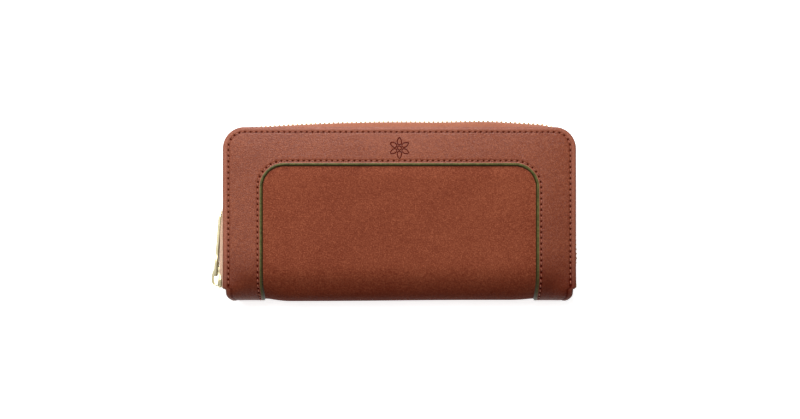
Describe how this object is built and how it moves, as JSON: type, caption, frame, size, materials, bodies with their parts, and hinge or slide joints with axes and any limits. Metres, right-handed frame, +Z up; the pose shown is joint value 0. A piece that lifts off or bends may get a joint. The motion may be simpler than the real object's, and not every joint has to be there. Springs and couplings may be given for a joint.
{
  "type": "zip around wallet",
  "caption": "Long leather wallet that lies flat, closed by a zip round three sides, with card pockets, two bill compartments and a zipped coin pocket inside",
  "frame": {"origin": "centre of the back face, which rests on the plane Z = 0", "axes": "+X along the spine, with the parked slider at -X; +Y from the spine to the long zipped edge; +Z up through the thickness, towards the front cover"},
  "size_m": [0.2064, 0.101, 0.024],
  "materials": {
    "tan_leather": "fine-grained red-brown leather, satin",
    "border_leather": "fine-grained tan leather, satin, with a painted green cut edge",
    "pocket_leather": "thin smooth tan leather",
    "lining": "closely woven olive lining",
    "zip_tape": "herringbone zip tape, salmon tan",
    "gold_metal": "polished light gold plating",
    "board": "bonded leather board"
  },
  "bodies": {
    "back_cover": {"back_frame_leather": "border_leather", "back_leather": "tan_leather", "back_board": "board", "back_lining": "lining", "back_card_pocket_1": "pocket_leather", "back_card_pocket_2": "pocket_leather", "back_card_pocket_3": "pocket_leather", "back_card_pocket_4": "pocket_leather", "back_zip_tape": "zip_tape", "back_zip_teeth": "gold_metal"},
    "spine": {"spine_frame_leather": "border_leather", "spine_leather": "tan_leather", "spine_board": "board", "spine_lining": "lining", "coin_wall_back": "pocket_leather", "coin_wall_front": "pocket_leather", "coin_side_gussets": "lining", "coin_base": "lining", "coin_zip_tapes": "zip_tape", "coin_zip_teeth": "gold_metal", "coin_zip_stops": "gold_metal", "zip_end_tapes": "zip_tape", "zip_end_teeth": "gold_metal", "zip_top_stops": "gold_metal", "zip_bottom_stop": "gold_metal", "gusset_back_left": "lining", "gusset_back_right": "lining", "gusset_front_left": "lining", "gusset_front_right": "lining"},
    "front_cover": {"front_frame_leather": "border_leather", "front_leather": "tan_leather", "front_board": "board", "front_lining": "lining", "front_card_pocket_1": "pocket_leather", "front_card_pocket_2": "pocket_leather", "front_card_pocket_3": "pocket_leather", "front_card_pocket_4": "pocket_leather", "front_zip_tape": "zip_tape", "front_zip_teeth": "gold_metal"},
    "zip_slider": {"slider_body": "gold_metal", "slider_bridge": "gold_metal"},
    "zip_puller": {"puller": "gold_metal"},
    "coin_slider": {"coin_slider_body": "gold_metal", "coin_slider_bridge": "gold_metal"},
    "coin_puller_body": {"coin_puller": "gold_metal"}
  },
  "joints": [
    {"name": "spine_hinge_back", "type": "hinge", "parent": "back_cover", "child": "spine", "pos_m": [0, -0.04, 0], "axis": [1, 0, 0], "range_deg": [0, 22], "deforming": ["back_zip_tape", "gusset_back_left", "gusset_back_right"]},
    {"name": "spine_hinge_front", "type": "hinge", "parent": "spine", "child": "front_cover", "pos_m": [0, -0.04, 0.024], "axis": [1, 0, 0], "range_deg": [0, 22], "deforming": ["front_zip_tape", "gusset_front_left", "gusset_front_right"]},
    {"name": "zip_slide", "type": "slide", "parent": "spine", "child": "zip_slider", "axis": [-0.0332, -0.9995, 0], "range_m": [-0.065, 0], "deforming": ["back_zip_teeth", "front_zip_teeth", "zip_end_teeth"]},
    {"name": "puller_hinge", "type": "hinge", "parent": "zip_slider", "child": "zip_puller", "pos_m": [-0.10342, -0.03456, 0.012], "axis": [0, 0, 1], "range_deg": [0, 174]},
    {"name": "coin_zip_slide", "type": "slide", "parent": "spine", "child": "coin_slider", "axis": [1, 0, 0], "range_m": [0, 0.148], "deforming": ["coin_zip_teeth"]},
    {"name": "coin_puller_hinge", "type": "hinge", "parent": "coin_slider", "child": "coin_puller_body", "pos_m": [-0.07518, 0.03299, 0.012], "axis": [0, 0, 1], "range_deg": [0, 174]}
  ],
  "couplings": [
    {"joint": "spine_hinge_front", "follows": "spine_hinge_back", "ratio": 1}
  ]
}
